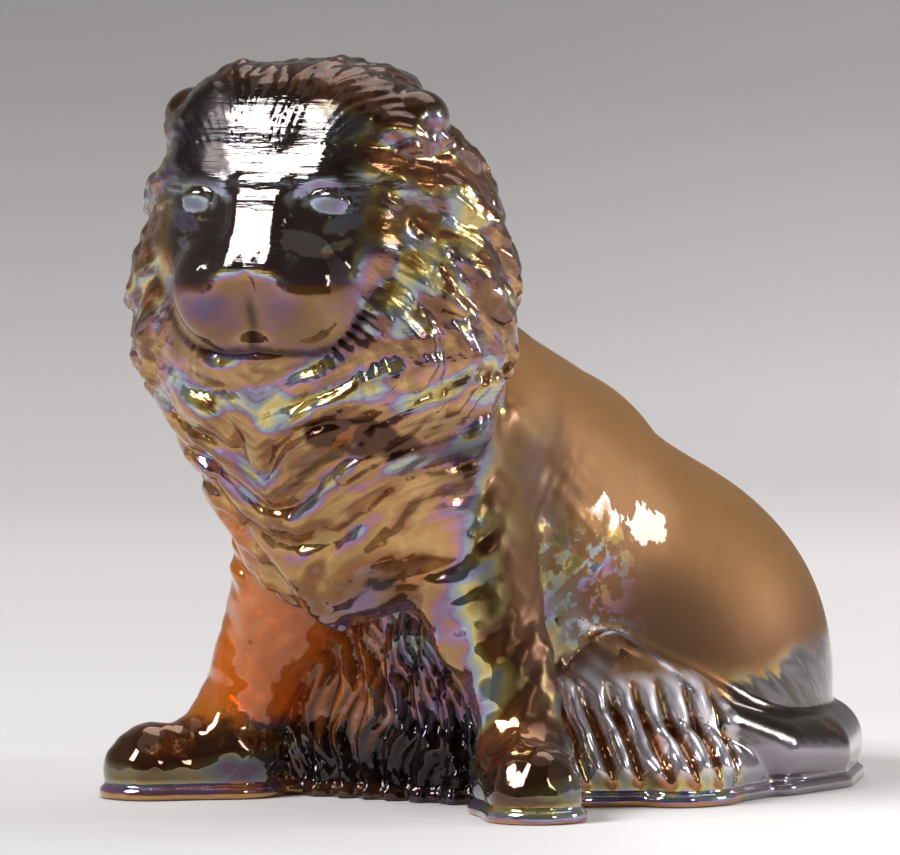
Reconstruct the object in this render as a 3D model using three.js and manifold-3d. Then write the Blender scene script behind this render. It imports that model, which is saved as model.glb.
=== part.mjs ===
// A seated lion pressed in one piece of amber glass, with a full mane, a web of
// belly hair between its front legs and a thin mould lip round its flat underside.
// Millimetres, +Z up. The lion looks along -Y and its left side is +X. The origin
// is on the underside, midway along the flat that it stands on.
import * as THREE from "three";
import { edgeTable, triTable } from "three/addons/objects/MarchingCubes.js";
import { mergeVertices } from "three/addons/utils/BufferGeometryUtils.js";
import Module from "manifold-3d";

// Driving sizes
const HEIGHT = 138;
const HEAD_Y = -50; // the upright axis of the head and mane, above the front legs
const HEAD_TURN = THREE.MathUtils.degToRad(9); // the head looks a little to its left
const NECK_Z = [60, 85]; // the turn comes in over this height
const LIP_HEIGHT = 2.4;
const LIP_REACH = 0.8;
const LIP_LEVEL = 4; // the lip follows the outline of the figure at this height
const STRAND_PITCH = 6; // the belly hair hangs in strands this wide
const STRAND_DEPTH = 1.1;
const RIB_PITCH = 7; // from flute to flute below the knees, in x and y added up
const RIB_DEPTH = 2.2;
const WAVE_PITCH = 9; // waves of hair down the chest, from crest to crest
const WAVE_DEPTH = 1.9;
const FOREHEAD_CURVE = 200; // how gently the forehead bends round, side to side
const LOCK_LIFT = 2.2; // how far the tips of the mane's locks stand proud
const LOCK_STEPS = 4;
const MANE_FOOT = 18; // the mane and head are all above this and in front of that
const MANE_BACK = 5;
const FLOOR = -3; // the field ends here, and the underside is cut flat at 0
const TRIANGLES = 9700;

// Small sums
const clamp01 = (t) => Math.min(Math.max(t, 0), 1);
const add = (p, way, reach) => p.map((c, n) => c + way[n] * reach);
const dot = (a, b) => a[0] * b[0] + a[1] * b[1] + a[2] * b[2];
const minus = (a, b) => [a[0] - b[0], a[1] - b[1], a[2] - b[2]];
const unit = (v) => {
  const size = Math.hypot(...v) || 1;
  return v.map((c) => c / size);
};
const cross = (a, b) => [
  a[1] * b[2] - a[2] * b[1],
  a[2] * b[0] - a[0] * b[2],
  a[0] * b[1] - a[1] * b[0],
];

// A smooth step from 0 to 1
const ease = (from, to, t) => {
  const s = clamp01((t - from) / (to - from));
  return s * s * (3 - 2 * s);
};

// A repeatable number from 0 to 1 for a whole number
const scatter = (n) => {
  const s = Math.sin(n * 12.9898 + 4.1414) * 43758.5453;
  return s - Math.floor(s);
};

// Fields. A shape is a function of x, y, z that gives about the distance to its
// surface in millimetres, negative inside.

// The two shapes as one, with the corner between them filled over a width
function melt(a, b, width) {
  const near = Math.max(width - Math.abs(a - b), 0) / width;
  return Math.min(a, b) - (near * near * width) / 4;
}

// The first shape without the second, with the edge rounded over a width
const carve = (a, b, width) => -melt(-a, b, width);

// An ellipsoid at a centre with three half sizes, tipped about X by pitch, about
// Y by roll and about Z by yaw, in degrees
function blob(at, half, pitch = 0, yaw = 0, roll = 0) {
  const angles = [pitch, roll, yaw].map(THREE.MathUtils.degToRad);
  const turn = new THREE.Matrix4().makeRotationFromEuler(new THREE.Euler(...angles, "ZYX"));
  const m = turn.invert().elements;
  return (px, py, pz) => {
    const x = px - at[0];
    const y = py - at[1];
    const z = pz - at[2];
    const u = (m[0] * x + m[4] * y + m[8] * z) / half[0];
    const v = (m[1] * x + m[5] * y + m[9] * z) / half[1];
    const w = (m[2] * x + m[6] * y + m[10] * z) / half[2];
    const size = Math.hypot(u, v, w);
    const slope = Math.hypot(u / half[0], v / half[1], w / half[2]);
    return slope > 1e-9 ? (size * (size - 1)) / slope : -Math.min(...half);
  };
}

// A chain of tapered rods through points [x, y, z, radius]
function limb(...points) {
  return (x, y, z) => {
    let nearest = Infinity;
    for (let i = 1; i < points.length; i++) {
      const [ax, ay, az, ar] = points[i - 1];
      const [bx, by, bz, br] = points[i];
      const dx = bx - ax;
      const dy = by - ay;
      const dz = bz - az;
      const along = (x - ax) * dx + (y - ay) * dy + (z - az) * dz;
      const t = clamp01(along / (dx * dx + dy * dy + dz * dz));
      const gap = Math.hypot(x - ax - t * dx, y - ay - t * dy, z - az - t * dz);
      nearest = Math.min(nearest, gap - ar - t * (br - ar));
    }
    return nearest;
  };
}

// A box with rounded edges, leaning back by its pitch in degrees
function block(at, half, round, pitch = 0) {
  const cosine = Math.cos(THREE.MathUtils.degToRad(pitch));
  const sine = Math.sin(THREE.MathUtils.degToRad(pitch));
  return (px, py, pz) => {
    const ahead = cosine * (py - at[1]) - sine * (pz - at[2]);
    const above = sine * (py - at[1]) + cosine * (pz - at[2]);
    const x = Math.abs(px - at[0]) - half[0] + round;
    const y = Math.abs(ahead) - half[1] + round;
    const z = Math.abs(above) - half[2] + round;
    const outside = Math.hypot(Math.max(x, 0), Math.max(y, 0), Math.max(z, 0));
    return outside + Math.min(Math.max(x, y, z), 0) - round;
  };
}

// The way out of a field at a place
function outward(field, [x, y, z]) {
  const h = 0.4;
  return unit([
    field(x + h, y, z) - field(x - h, y, z),
    field(x, y + h, z) - field(x, y - h, z),
    field(x, y, z + h) - field(x, y, z - h),
  ]);
}

const onto = (field, p) => add(p, outward(field, p), -field(...p));

// The place where a ray from inside a field leaves it
function surfaceAlong(field, from, way) {
  let reach = 0;
  for (let n = 0; n < 80; n++) {
    const depth = -field(...add(from, way, reach));
    if (depth < 0.02) break;
    reach += Math.max(depth * 0.7, 0.02);
  }
  return add(from, way, reach);
}

// Trunk, haunches and hind legs. Parts on both sides are given for the left side.
const trunk = limb([0, -30, 66, 24], [0, -14, 64, 28], [0, 13, 48.5, 32.3], [0, 28, 34, 35]);
const belly = block([0, 12, 21], [29.5, 32, 33], 12);
const haunch = blob([20, 36.5, 22], [29, 36, 36], 0, 0, -5);
const rump = blob([0, 43, 12], [41, 31, 33]);
const seat = blob([23, 45, 7], [23, 27.5, 15]);
const knee = blob([31, -4, 21], [7, 9, 8]);
const shank = limb([31, -3, 23, 7.5], [40, 6, 17, 8], [44, 20, 9, 8], [44, 34, 6, 8]);
const foot = limb([44, 44, 6, 8], [46.5, 8, 5, 7.5]);
const hindPaw = blob([47, 0, 5], [8.5, 11, 8]);
const sole = limb([30, -21, 3, 4.5], [35, 2, 4, 8.5], [33, 22, 4, 9]);
const apron = limb([30, -14, 6, 7], [38, -7, 6, 7.5], [43, 0, 6, 6]);
const apronTop = limb([28.5, -9.5, 19, 5], [34.5, -3.5, 20, 4.8]);
const tail = limb(
  [0, 62, 24, 7],
  [7, 69, 14, 8.2],
  [24, 67.5, 9, 8.5],
  [39, 60.5, 7, 8.3],
  [48.5, 42, 6.5, 7.5],
  [50, 24, 8, 6.8],
  [47, 11, 13.5, 5.2],
  [42, 4, 18, 3.2],
);

function hindParts(x, y, z) {
  const side = Math.abs(x);
  let d = melt(trunk(x, y, z), belly(x, y, z), 14);
  d = melt(d, rump(x, y, z), 12);
  d = melt(d, haunch(side, y, z), 10);
  d = melt(d, seat(side, y, z), 5);
  d = melt(d, shank(side, y, z), 3);
  d = melt(d, knee(side, y, z), 2);
  d = melt(d, foot(side, y, z), 2);
  d = melt(d, hindPaw(side, y, z), 2);
  d = melt(d, sole(side, y, z), 2);
  return melt(d, tail(x, y, z), 1);
}

// Belly hair fills the room between the legs and hangs in strands
const web = block([0, -13, 13], [26, 13, 23], 6);

function bellyHair(x, y, z) {
  const side = Math.abs(x);
  const wander = 1.1 * Math.sin(z * 0.33 + x * 0.2);
  const strand = Math.cos(((x + wander) / STRAND_PITCH) * 2 * Math.PI);
  const front = web(x, y, z) - STRAND_DEPTH * strand;
  const flank = melt(apron(side, y, z), apronTop(side, y, z), 14);
  return melt(front, flank, 2);
}

// Upright flutes of hair that hang from the knee to the hind paw
function flutes(x, y, z) {
  const side = Math.abs(x);
  const across = ease(24, 29, side) * ease(-23, -18, y) * ease(10, 3, y);
  const rib = Math.abs(Math.sin((Math.PI * (side + y + 0.43 * z)) / RIB_PITCH));
  return -RIB_DEPTH * across * ease(4, 7, z) * ease(24, 19, z) * (rib - 0.5);
}

const leg = limb(
  [13, -25, 63, 14],
  [17, -30, 48, 13.5],
  [22.5, -29.5, 34, 10.8],
  [27, -30, 27, 8.8],
  [32, -32, 13, 7.7],
);
const ankle = blob([32, -33, 8], [9, 9, 9]);
const paw = limb([33, -34, 6, 8.4], [42.5, -44.5, 5, 8.6]);

function frontLegs(x, y, z) {
  const side = Math.abs(x);
  return melt(melt(leg(side, y, z), ankle(side, y, z), 4), paw(side, y, z), 4);
}

// The mane's mass under its locks
const ball = blob([0, HEAD_Y, 98], [33.6, 28, 36.5]);
const crown = block([0, -58, HEIGHT - 20.7], [23.5, 15.5, 18.5], 13);
const cheeks = blob([0, -49.5, 88], [32, 26, 28]);
const chest = blob([0, -41, 64], [25, 21.5, 30]);

function maneMass(x, y, z) {
  const upper = melt(ball(x, y, z), crown(x, y, z), 8);
  return melt(melt(upper, cheeks(x, y, z), 10), chest(x, y, z), 14);
}

function bare(x, y, z) {
  const low = melt(hindParts(x, y, z), bellyHair(x, y, z), 2);
  return melt(melt(low, frontLegs(x, y, z), 4), maneMass(x, y, z), 4);
}

// The way that hair lies at a place: away from the face, down, and on the chest
// in towards the middle
const FACE_FRONT = [0, -84, 106];

function hairWay(p) {
  const low = ease(92, 72, p[2]);
  const way = unit(minus(p, FACE_FRONT));
  way[0] -= 2.8 * Math.sign(p[0]) * Math.min(Math.abs(p[0]) / 9, 1) * low;
  way[1] *= 1 - 0.8 * low;
  way[2] -= 0.55 + 0.3 * low;
  return way;
}

// A lock is a bent, tapered rod laid along the mane, its root sunk and its tip
// proud, so that it overlaps the root of the next
function lock(root, length, radius, seed) {
  const swing = (scatter(seed) - 0.5) * 0.9;
  const points = [];
  let p = onto(bare, root);
  for (let n = 0; n <= LOCK_STEPS; n++) {
    const t = n / LOCK_STEPS;
    const normal = outward(bare, p);
    const r = radius * (0.55 + 1.8 * t * (1 - t)) * (1 - 0.55 * t * t);
    const lift = LOCK_LIFT * Math.sin(0.1 + t * 1.8) * (1 - 0.45 * ease(118, 134, p[2]));
    points.push([...add(p, normal, lift - r), r]);
    const way = hairWay(p);
    const bent = add(way, unit(cross(normal, way)), swing * (2 * t - 1));
    const along = unit(add(bent, normal, -dot(bent, normal)));
    p = onto(bare, add(p, along, length / LOCK_STEPS));
  }
  return points;
}

// Rings of locks round the head, by the angle of their roots from straight ahead
const RINGS = [
  { back: 46, count: 15, length: 18, radius: 5 },
  { back: 66, count: 17, length: 20, radius: 5.6 },
  { back: 88, count: 17, length: 22, radius: 6 },
  { back: 112, count: 15, length: 23, radius: 6.4 },
  { back: 136, count: 10, length: 23, radius: 6.4 },
];

// Rows of longer locks down the chest, by height and half width
const ROWS = [
  { z: 80, half: 20, count: 4 },
  { z: 72, half: 29, count: 5 },
  { z: 63, half: 27, count: 6 },
  { z: 54, half: 23, count: 5 },
  { z: 45, half: 14, count: 4 },
];

function maneLocks() {
  const locks = [];
  const middle = [0, HEAD_Y + 2, 102];
  RINGS.forEach(({ back, count, length, radius }, ring) => {
    for (let n = 0; n < count; n++) {
      const round = ((n + 0.5 * (ring % 2) + 0.5) / count) * 2 * Math.PI;
      const up = Math.max(Math.cos(round), 0);
      const down = ease(-0.3, -1, Math.cos(round));
      if (down > 0.55) continue;
      const angle = THREE.MathUtils.degToRad(back + 14 * up * up * (ring < 3 ? 1 : 0.4));
      const out = Math.sin(angle);
      const way = [out * Math.sin(round), -Math.cos(angle), out * Math.cos(round)];
      const root = surfaceAlong(maneMass, middle, way);
      const grow = 1 + 0.4 * down;
      locks.push(lock(root, length * grow, radius * grow, ring * 40 + n));
    }
  });
  ROWS.forEach(({ z, half, count }, row) => {
    for (let n = 0; n < count; n++) {
      const x = half * ((2 * n) / (count - 1) - 1);
      const root = surfaceAlong(maneMass, [x * 0.6, -42, z], unit([x * 0.4, -20, 0]));
      locks.push(lock(root, 27 - 2 * row, 6.3, 500 + row * 20 + n));
    }
  });
  return locks;
}

// Many rods as one field, each looked at only where it's near
function coat(locks) {
  const made = locks.map((points) => {
    const middle = points[points.length >> 1];
    const reach = Math.max(...points.map((p) => Math.hypot(...minus(p, middle)) + p[3]));
    return { rod: limb(...points), middle, reach };
  });
  return (x, y, z, far) => {
    let d = far;
    for (const { rod, middle, reach } of made) {
      if (Math.hypot(x - middle[0], y - middle[1], z - middle[2]) - reach < d) {
        d = Math.min(d, rod(x, y, z));
      }
    }
    return d;
  };
}

const mane = coat(maneLocks());

// Long waves of hair that sweep down and in across the chest, with sharp creases
// between rounded crests
function chestWaves(x, y, z) {
  const side = Math.sqrt(x * x + 6);
  const sway = 1.9 * Math.sin(0.17 * x + 0.23 * z) + 1.2 * Math.sin(0.31 * x - 0.19 * z + 2);
  const level = z - side * (0.62 + 0.012 * (70 - z)) + sway;
  const uneven = 0.65 + 0.35 * Math.sin(0.24 * x - 0.12 * z + 1);
  const onChest = ease(90, 80, z) * ease(34, 44, z) * ease(-34, -44, y);
  const crest = Math.abs(Math.sin((Math.PI * level) / WAVE_PITCH)) - 0.5;
  return -WAVE_DEPTH * onChest * uneven * crest;
}

// The face, as it is before the head turns
const face = block([0, -60.5, 104.5], [19.5, 15.5, 20], 11);
const forehead = block([0, -64.2, 119.1], [17, 9, 14], 6, 29);
const bridge = block([0, -74.3, 105.4], [5.5, 6, 9.5], 2, 21);
const brow = limb([12, -71, 118.6, 3.2], [17, -69.8, 118.4, 3.4], [22, -66.5, 116, 3]);
const nose = limb([3.2, -80, 100.2, 2.6], [6.6, -78.2, 99, 2.4]);
const jaw = blob([0, -69.6, 97], [18.5, 11.2, 12]);
const puff = blob([7.6, -75.6, 96], [9.4, 7.4, 10], 0, -14);
const chin = blob([0, -73, 85.6], [9.5, 7, 5.8]);
const cheekbone = blob([17, -67, 103], [8, 8, 8]);
const beard = limb([3.5, -73.5, 81, 3], [3, -68.5, 72, 1.4]);
const ear = blob([23, -57, 127.5], [5, 6, 4.2], 0, 0, 35);
const socket = blob([12.7, -79, 111.9], [6.6, 5, 3.9]);
const eyeball = blob([12.9, -75.2, 112], [3.4, 1.2, 2.2], 30);
const mouth = limb(
  [0, -85, 87.6, 0.9],
  [6, -82, 85, 1.1],
  [13, -77.5, 85.6, 1.1],
  [20.5, -66, 91.5, 1.1],
);
const lip = blob([0, -76, 82.9], [4.2, 3.2, 1.5]);
const groove = limb([0, -83, 97.5, 1.2], [0, -82, 88, 1.3]);

function head(x, y, z) {
  const side = Math.abs(x);
  let d = melt(face(x, y, z), forehead(x, y - (x * x) / FOREHEAD_CURVE, z), 3);
  d = melt(d, brow(side, y, z), 4);
  d = melt(d, bridge(x, y, z), 3);
  d = melt(d, cheekbone(side, y, z), 6);
  d = melt(d, jaw(x, y, z), 5);
  d = melt(d, puff(side, y, z), 3);
  d = melt(d, chin(x, y, z), 2);
  d = melt(d, nose(side, y, z), 2);
  d = melt(d, ear(side, y, z), 3);
  d = carve(d, socket(side, y, z), 1.5);
  d = melt(d, eyeball(side, y, z), 0.6);
  d = carve(d, mouth(side, y, z), 1.2);
  d = melt(d, lip(x, y, z), 0.8);
  d = melt(d, beard(side, y, z), 1);
  return carve(d, groove(x, y, z), 1);
}

// The whole figure. Places above the neck turn with the head about its axis.
function figureField(x, y, z) {
  const angle = HEAD_TURN * ease(...NECK_Z, z);
  const cosine = Math.cos(angle);
  const sine = Math.sin(angle);
  const hx = cosine * x + sine * (y - HEAD_Y);
  const hy = HEAD_Y - sine * x + cosine * (y - HEAD_Y);
  const low = melt(hindParts(x, y, z), bellyHair(x, y, z), 2) + flutes(x, y, z);
  let d = melt(low, frontLegs(x, y, z), 4);
  if (z < MANE_FOOT || y > MANE_BACK) return d;
  d = melt(d, maneMass(hx, hy, z), 4);
  d = melt(d, mane(hx, hy, z, d + 3), 1.2) + chestWaves(hx, hy, z);
  return melt(d, head(hx, hy, z), 1.5);
}

function lion(x, y, z) {
  let d = figureField(x, y, z);
  if (z < LIP_HEIGHT + 4) {
    const rim = Math.max(figureField(x, y, LIP_LEVEL) - LIP_REACH, z - LIP_HEIGHT);
    d = melt(d, rim, 0.8);
  }
  return Math.max(d, FLOOR - z);
}

// The surface of a field on a grid whose lines may be unevenly spaced
function polygonise(field, [xs, ys, zs]) {
  const [nx, ny, nz] = [xs.length, ys.length, zs.length];
  const index = (i, j, k) => i + nx * (j + ny * k);
  const value = new Float64Array(nx * ny * nz);
  zs.forEach((z, k) => {
    ys.forEach((y, j) => xs.forEach((x, i) => (value[index(i, j, k)] = field(x, y, z))));
  });
  // The table's corners and edges, as steps from a cell's first corner
  const corners = [
    [0, 0, 0],
    [1, 0, 0],
    [0, 1, 0],
    [1, 1, 0],
    [0, 0, 1],
    [1, 0, 1],
    [0, 1, 1],
    [1, 1, 1],
  ];
  const bits = [1, 2, 8, 4, 16, 32, 128, 64];
  const edges = ["01", "13", "23", "02", "45", "57", "67", "46", "04", "15", "37", "26"];
  const position = [];
  const faces = [];
  const made = new Map();
  const vertexOn = (cell, edge) => {
    const [start, end] = [...edges[edge]].map((c) => add(cell, corners[c], 1));
    const [a, b] = [index(...start), index(...end)];
    const key = `${a},${b}`;
    if (!made.has(key)) {
      const t = Math.min(Math.max(value[a] / (value[a] - value[b]), 0.05), 0.95);
      const [p, q] = [start, end].map(([i, j, k]) => [xs[i], ys[j], zs[k]]);
      made.set(key, position.length / 3);
      position.push(...add(p, minus(q, p), t));
    }
    return made.get(key);
  };
  for (let k = 0; k < nz - 1; k++) {
    for (let j = 0; j < ny - 1; j++) {
      for (let i = 0; i < nx - 1; i++) {
        let kind = 0;
        corners.forEach(([di, dj, dk], c) => {
          if (value[index(i + di, j + dj, k + dk)] < 0) kind |= bits[c];
        });
        if (!edgeTable[kind]) continue;
        for (let n = kind * 16; triTable[n] !== -1; n += 3) {
          const ends = [triTable[n], triTable[n + 2], triTable[n + 1]];
          faces.push(...ends.map((edge) => vertexOn([i, j, k], edge)));
        }
      }
    }
  }
  const geometry = new THREE.BufferGeometry();
  geometry.setAttribute("position", new THREE.Float32BufferAttribute(position, 3));
  geometry.setIndex(faces);
  return geometry;
}

// Even out the points along the surface
function settle(at, beside, field) {
  for (let n = 0; n < 2; n++) {
    const middles = at.map((p, v) => {
      const sum = [...beside[v]].reduce((total, b) => add(total, at[b], 1), [0, 0, 0]);
      return sum.map((c, axis) => (c / beside[v].size + p[axis]) / 2);
    });
    middles.forEach((p, v) => {
      const moved = onto(field, onto(field, p));
      if (Math.hypot(...minus(moved, p)) < 1) at[v] = moved;
    });
  }
}

// The face that three points make, as its normal with a length of twice its area
const span = (a, b, c) => cross(minus(b, a), minus(c, a));

// Close up the edges that matter least, in rounds, until few enough triangles are
// left. The cost of an edge is how far its new point is from the planes round it,
// and each new point is laid back on the field.
function thinned(geometry, field, goal) {
  const raw = geometry.getAttribute("position").array;
  const at = [];
  for (let n = 0; n < raw.length; n += 3) at.push([...raw.subarray(n, n + 3)]);
  let faces = [];
  for (let n = 0; n < geometry.index.count; n += 3) {
    faces.push([...geometry.index.array.slice(n, n + 3)]);
  }
  let settled = false;
  while (faces.length > goal) {
    const round = at.map(() => []);
    faces.forEach((f) => f.forEach((v) => round[v].push(f)));
    const beside = round.map((fs, v) => new Set(fs.flat().filter((n) => n !== v)));
    if (!settled) {
      settle(at, beside, field);
      settled = true;
    }
    const planes = new Map(faces.map((f) => [f, span(...f.map((v) => at[v]))]));
    const choices = [];
    beside.forEach((others, a) => {
      for (const b of others) {
        if (b < a) continue;
        const middle = at[a].map((c, n) => (c + at[b][n]) / 2);
        const near = new Set([...round[a], ...round[b]]);
        let best = Infinity;
        let spot;
        for (const p of [middle, at[a], at[b]]) {
          let cost = 0.004 * Math.hypot(...minus(at[a], at[b])) ** 4;
          for (const f of near) {
            const normal = planes.get(f);
            const area = Math.hypot(...normal);
            const off = dot(minus(p, at[f[0]]), normal) / area;
            cost += area * off * off;
          }
          if (cost < best) [best, spot] = [cost, p];
        }
        choices.push([best * detail(spot), a, b, spot]);
      }
    });
    choices.sort((p, q) => p[0] - q[0]);
    const touched = new Set();
    const gone = new Set();
    const limit = Math.ceil(choices.length / 4);
    for (const [, a, b, spot] of choices.slice(0, limit)) {
      if (faces.length - gone.size <= goal) break;
      if (touched.has(a) || touched.has(b)) continue;
      if ([...beside[a]].filter((n) => beside[b].has(n)).length !== 2) continue;
      const moved = onto(field, spot);
      const p = Math.hypot(...minus(moved, spot)) < 0.5 ? moved : spot;
      const kept = [...round[a], ...round[b]].filter((f) => !(f.includes(a) && f.includes(b)));
      const turnsOver = kept.some((f) => {
        const now = span(...f.map((v) => (v === a || v === b ? p : at[v])));
        return dot(unit(now), unit(planes.get(f))) < 0.4;
      });
      if (turnsOver) continue;
      round[a].filter((f) => f.includes(b)).forEach((f) => gone.add(f));
      round[b].forEach((f) => f.forEach((v, n) => v === b && (f[n] = a)));
      at[a] = p;
      [a, b, ...beside[a], ...beside[b]].forEach((v) => touched.add(v));
    }
    if (!gone.size) break;
    faces = faces.filter((f) => !gone.has(f));
  }
  const less = new THREE.BufferGeometry();
  less.setAttribute("position", new THREE.Float32BufferAttribute(at.flat(), 3));
  less.setIndex(faces.flat());
  return less;
}

// How much more an edge counts on the face and at the lip than elsewhere
const detail = ([, y, z]) => 1 + 3 * ease(-60, -70, y) * ease(70, 84, z) + 2 * ease(5, 3, z);

// Grid lines from one end to the other, whose spacing is a function of the place
function lines(from, to, spacing) {
  const made = [from];
  while (made.at(-1) < to) made.push(made.at(-1) + spacing(made.at(-1)));
  return made;
}

// They are closer together at the face and at the lip
const GRID = [
  lines(-61, 60, () => 1.8),
  lines(-92, 83, (y) => 1.7 + 0.1 * ease(-62, -50, y) + 0.8 * ease(6, 20, y)),
  lines(FLOOR - 1.5, HEIGHT + 5, (z) => 1.2 + 1.3 * ease(3, 5, z) - 0.8 * ease(62, 84, z)),
];

const wasm = await Module();
wasm.setup();

function solidFrom(geometry) {
  const plain = new THREE.BufferGeometry();
  plain.setAttribute("position", geometry.getAttribute("position"));
  plain.setIndex(geometry.index);
  const merged = mergeVertices(plain, 1e-4);
  return new wasm.Manifold(
    new wasm.Mesh({
      numProp: 3,
      vertProperties: new Float32Array(merged.attributes.position.array),
      triVerts: new Uint32Array(merged.index.array),
    }),
  );
}

function geometryFrom(solid) {
  const mesh = solid.getMesh();
  const geometry = new THREE.BufferGeometry();
  geometry.setAttribute("position", new THREE.Float32BufferAttribute(mesh.vertProperties, 3));
  geometry.setIndex(new THREE.Uint32BufferAttribute(mesh.triVerts, 1));
  geometry.computeVertexNormals();
  return geometry;
}

const ground = new THREE.BoxGeometry(400, 400, 40).translate(0, 0, -20);
const sculpted = thinned(polygonise(lion, GRID), lion, TRIANGLES);
const shape = solidFrom(sculpted).subtract(solidFrom(ground));

const glass = new THREE.MeshStandardMaterial({ color: 0x5a2e10, roughness: 0.12, metalness: 0.35 });
const figure = new THREE.Mesh(geometryFrom(shape), glass);
figure.name = "lion";

const model = new THREE.Group();
model.add(figure);
export default model;
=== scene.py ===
# The lion as it looks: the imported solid's own form, worked out again from the same
# sizes, with finer hair, eye rings and a slightly uneven surface, in dense amber glass
# under an iridescent film. Shapes are worked out in millimetres and placed in metres.
import math

import bmesh
import bpy
import numpy as np
from mathutils import Matrix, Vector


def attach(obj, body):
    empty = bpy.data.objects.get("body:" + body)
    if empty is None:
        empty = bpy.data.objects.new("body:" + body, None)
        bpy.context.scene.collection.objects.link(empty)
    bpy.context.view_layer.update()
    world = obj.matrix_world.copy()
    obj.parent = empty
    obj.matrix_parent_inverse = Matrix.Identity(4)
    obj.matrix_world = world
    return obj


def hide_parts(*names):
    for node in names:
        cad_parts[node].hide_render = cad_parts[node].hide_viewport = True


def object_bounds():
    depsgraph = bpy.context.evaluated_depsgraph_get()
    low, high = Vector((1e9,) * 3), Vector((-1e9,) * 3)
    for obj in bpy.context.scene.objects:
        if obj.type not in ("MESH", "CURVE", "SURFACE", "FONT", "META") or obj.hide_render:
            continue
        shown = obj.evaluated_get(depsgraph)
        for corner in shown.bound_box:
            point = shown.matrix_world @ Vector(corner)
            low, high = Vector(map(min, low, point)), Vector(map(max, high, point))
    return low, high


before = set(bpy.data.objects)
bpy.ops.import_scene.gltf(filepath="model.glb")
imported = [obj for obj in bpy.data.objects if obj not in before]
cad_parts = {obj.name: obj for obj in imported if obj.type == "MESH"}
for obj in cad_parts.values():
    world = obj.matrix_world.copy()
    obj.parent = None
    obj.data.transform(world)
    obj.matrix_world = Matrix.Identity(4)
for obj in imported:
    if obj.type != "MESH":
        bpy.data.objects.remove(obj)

cad_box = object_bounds()

MM = 0.001

# Camera: the photograph's viewing angle
AZIMUTH = math.radians(33.0)
ELEVATION = math.radians(5.3)
DISTANCE = 1800.0
PIXELS_PER_MM = 5.36
IMAGE = (900, 855)
GROUND_PIXEL = (473.0, 790.0)
SENSOR = 36

# Sizes shared with the solid, in millimetres
HEIGHT = 138
HEAD_Y = -50
HEAD_TURN = math.radians(9)
NECK_Z = (60, 85)
LIP_HEIGHT = 2.4
LIP_REACH = 0.8
LIP_LEVEL = 4
STRAND_PITCH = 6
STRAND_DEPTH = 1.1
WAVE_PITCH = 9
WAVE_DEPTH = 1.9
RIB_PITCH = 7
RIB_DEPTH = 2.2
LOCK_LIFT = 2.2
LOCK_STEPS = 4
MANE_FOOT = 18
MANE_BACK = 5

# Fine relief that only this script carries
WEB_PITCH = 2.3
FINE_STRAND_DEPTH = 0.34
BROW_STROKE_PITCH = 1.6
BROW_STROKE_DEPTH = 0.10
MOUTH_LINE_DEPTH = 0.9
MOUTH_LINE_WIDTH = 0.9
CHEST_HOLLOW = (18.7, 69.2)
CHEST_HOLLOW_DEPTH = 0.8
LEG_SWELLS = ((0.32, 8, 31), (0.16, 4, 32))
GLASS_SWELL = 0.05

# Mesh: the grid's cell, the cells along a block's edge, and how far the surface may lie
# from a block's middle: half the block's diagonal, and the relief that a rough look misses
CELL = 0.66
BLOCK = 8
HALF_DIAGONAL = 0.87
RELIEF = 3
LOW = np.array([-60.0, -90.0, -4.0])
HIGH = np.array([62.0, 84.0, 143.0])
MOST_TRIANGLES = 190000


def melt(a, b, width):
    near = np.maximum(width - np.abs(a - b), 0) / width
    return np.minimum(a, b) - near * near * (width / 4)


def carve(a, b, width):
    return -melt(-a, b, width)


def ease(start, end, t):
    s = np.clip((t - start) / (end - start), 0, 1)
    return s * s * (3 - 2 * s)


def scatter(n):
    s = np.sin(np.asarray(n) * 12.9898 + 4.1414) * 43758.5453
    return s - np.floor(s)


def unit(v):
    return v / np.maximum(np.linalg.norm(v, axis=-1, keepdims=True), 1e-9)


def blob(at, half, pitch=0, yaw=0, roll=0):
    """An ellipsoid field, turned about X, then Y, then Z, in degrees."""
    p, r, w = (math.radians(a) for a in (pitch, roll, yaw))
    rx = np.array([[1, 0, 0], [0, math.cos(p), -math.sin(p)], [0, math.sin(p), math.cos(p)]])
    ry = np.array([[math.cos(r), 0, math.sin(r)], [0, 1, 0], [-math.sin(r), 0, math.cos(r)]])
    rz = np.array([[math.cos(w), -math.sin(w), 0], [math.sin(w), math.cos(w), 0], [0, 0, 1]])
    back = (rz @ ry @ rx).T

    def field(x, y, z):
        x, y, z = x - at[0], y - at[1], z - at[2]
        u, v, w = ((row[0] * x + row[1] * y + row[2] * z) / h for row, h in zip(back, half))
        size = np.sqrt(u * u + v * v + w * w)
        slope = np.sqrt((u / half[0]) ** 2 + (v / half[1]) ** 2 + (w / half[2]) ** 2)
        return np.where(slope > 1e-9, size * (size - 1) / np.maximum(slope, 1e-9), -min(half))

    return field


def limb(*points):
    """A chain of tapered rods through points (x, y, z, radius)."""

    def field(x, y, z):
        nearest = np.full(np.shape(x), np.inf)
        for (ax, ay, az, ar), (bx, by, bz, br) in zip(points, points[1:]):
            dx, dy, dz = bx - ax, by - ay, bz - az
            along = (x - ax) * dx + (y - ay) * dy + (z - az) * dz
            t = np.clip(along / (dx * dx + dy * dy + dz * dz), 0, 1)
            gap = np.sqrt(
                (x - ax - t * dx) ** 2 + (y - ay - t * dy) ** 2 + (z - az - t * dz) ** 2
            )
            nearest = np.minimum(nearest, gap - ar - t * (br - ar))
        return nearest

    return field


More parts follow.
